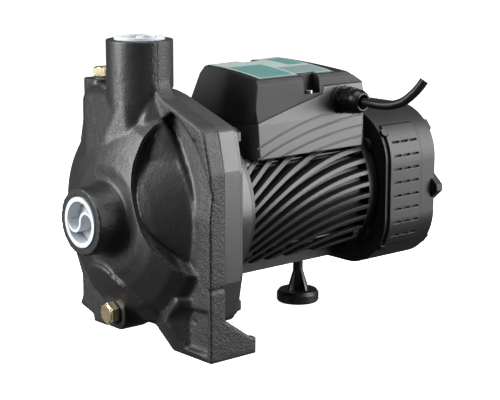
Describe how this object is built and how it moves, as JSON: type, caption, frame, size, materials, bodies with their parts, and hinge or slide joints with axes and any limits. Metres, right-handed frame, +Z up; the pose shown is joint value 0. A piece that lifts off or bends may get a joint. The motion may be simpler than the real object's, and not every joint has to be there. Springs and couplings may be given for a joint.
{
  "type": "centrifugal water pump",
  "caption": "Close-coupled single-phase centrifugal pump: cast casing with threaded suction and discharge ports, finned motor, terminal box, fan cover and support foot.",
  "frame": {"origin": "on the base plane, midway between the two foot holes", "axes": "+X along the shaft from the suction port to the fan, +Z up along the discharge port, +Y to the side opposite the cable gland"},
  "size_m": [0.354, 0.2467, 0.263],
  "materials": {
    "cast_iron": "satin",
    "bracket_paint": "satin",
    "frame_paint": "satin",
    "zinc_steel": "satin",
    "brass": "satin",
    "fibre_washer": "matte",
    "white_plastic": "satin",
    "rubber": "matte",
    "stainless": "polished",
    "bearing_steel": "polished",
    "ceramic": "satin",
    "lamination": "satin",
    "copper": "gloss",
    "box_plastic": "matte",
    "cover_plastic": "satin",
    "gland_plastic": "satin",
    "foot_plastic": "satin",
    "cable_sheath": "satin",
    "label": "satin"
  },
  "bodies": {
    "pump": {"pump_casing": "cast_iron", "casing_o_ring": "rubber", "motor_bracket": "bracket_paint", "casing_bolts": "zinc_steel", "seal_seat": "ceramic", "front_bearing_outer": "bearing_steel", "rear_bearing_outer": "bearing_steel", "wave_washer": "zinc_steel", "motor_frame": "frame_paint", "stator_core": "lamination", "stator_windings": "copper", "rear_end_shield": "frame_paint", "tie_bolts": "zinc_steel", "fan_cover": "cover_plastic", "fan_cover_screws": "zinc_steel", "terminal_base": "box_plastic", "terminal_base_screws": "zinc_steel", "terminal_gasket": "rubber", "terminal_cover": "box_plastic", "terminal_cover_screws": "zinc_steel", "rating_label": "label", "terminal_block": "white_plastic", "terminal_screws": "brass", "capacitor": "box_plastic", "earth_screw": "brass", "gland_body": "gland_plastic", "gland_seal": "rubber", "gland_nut": "gland_plastic", "gland_locknut": "gland_plastic", "power_cable": "cable_sheath", "support_foot": "foot_plastic", "support_foot_screw": "zinc_steel"},
    "rotor": {"shaft": "stainless", "rotor_core": "lamination", "impeller": "brass", "impeller_key": "stainless", "impeller_nut": "brass", "seal_head": "stainless", "seal_spring": "stainless", "water_slinger": "rubber", "front_bearing_inner": "bearing_steel", "rear_bearing_inner": "bearing_steel", "cooling_fan": "cover_plastic", "fan_clip": "zinc_steel"},
    "front_ball_cage": {"front_bearing_balls": "bearing_steel"},
    "rear_ball_cage": {"rear_bearing_balls": "bearing_steel"},
    "suction_cap_body": {"suction_cap": "white_plastic"},
    "discharge_cap_body": {"discharge_cap": "white_plastic"},
    "priming_washer_body": {"priming_plug_washer": "fibre_washer"},
    "priming_plug_body": {"priming_plug": "brass"},
    "drain_washer_body": {"drain_plug_washer": "fibre_washer"},
    "drain_plug_body": {"drain_plug": "brass"}
  },
  "joints": [
    {"name": "rotor_spin", "type": "hinge", "parent": "pump", "child": "rotor", "pos_m": [0.073, 0, 0.112], "axis": [1, 0, 0], "continuous": true},
    {"name": "front_cage_spin", "type": "hinge", "parent": "pump", "child": "front_ball_cage", "pos_m": [0.025, 0, 0.112], "axis": [1, 0, 0], "continuous": true},
    {"name": "rear_cage_spin", "type": "hinge", "parent": "pump", "child": "rear_ball_cage", "pos_m": [0.1845, 0, 0.112], "axis": [1, 0, 0], "continuous": true},
    {"name": "suction_cap_pull", "type": "slide", "parent": "pump", "child": "suction_cap_body", "axis": [-1, 0, 0], "range_m": [0, 0.06]},
    {"name": "discharge_cap_pull", "type": "slide", "parent": "pump", "child": "discharge_cap_body", "axis": [0, 0, 1], "range_m": [0, 0.06]},
    {"name": "priming_plug_lift", "type": "slide", "parent": "pump", "child": "priming_washer_body", "axis": [0, 0, 1], "range_m": [0, 0.012]},
    {"name": "priming_plug_turn", "type": "hinge", "parent": "priming_washer_body", "child": "priming_plug_body", "pos_m": [-0.027, 0.053, 0.224], "axis": [0, 0, 1], "range_deg": [0, 2520]},
    {"name": "drain_plug_draw", "type": "slide", "parent": "pump", "child": "drain_washer_body", "axis": [-1, 0, 0], "range_m": [0, 0.012]},
    {"name": "drain_plug_turn", "type": "hinge", "parent": "drain_washer_body", "child": "drain_plug_body", "pos_m": [-0.058, 0, 0.028], "axis": [-1, 0, 0], "range_deg": [0, 2520]}
  ],
  "couplings": [
    {"joint": "front_cage_spin", "follows": "rotor_spin", "ratio": 0.3811},
    {"joint": "rear_cage_spin", "follows": "rotor_spin", "ratio": 0.364},
    {"joint": "priming_plug_lift", "follows": "priming_plug_turn", "m_per_rad": 0.00021279},
    {"joint": "drain_plug_draw", "follows": "drain_plug_turn", "m_per_rad": 0.00021279}
  ]
}
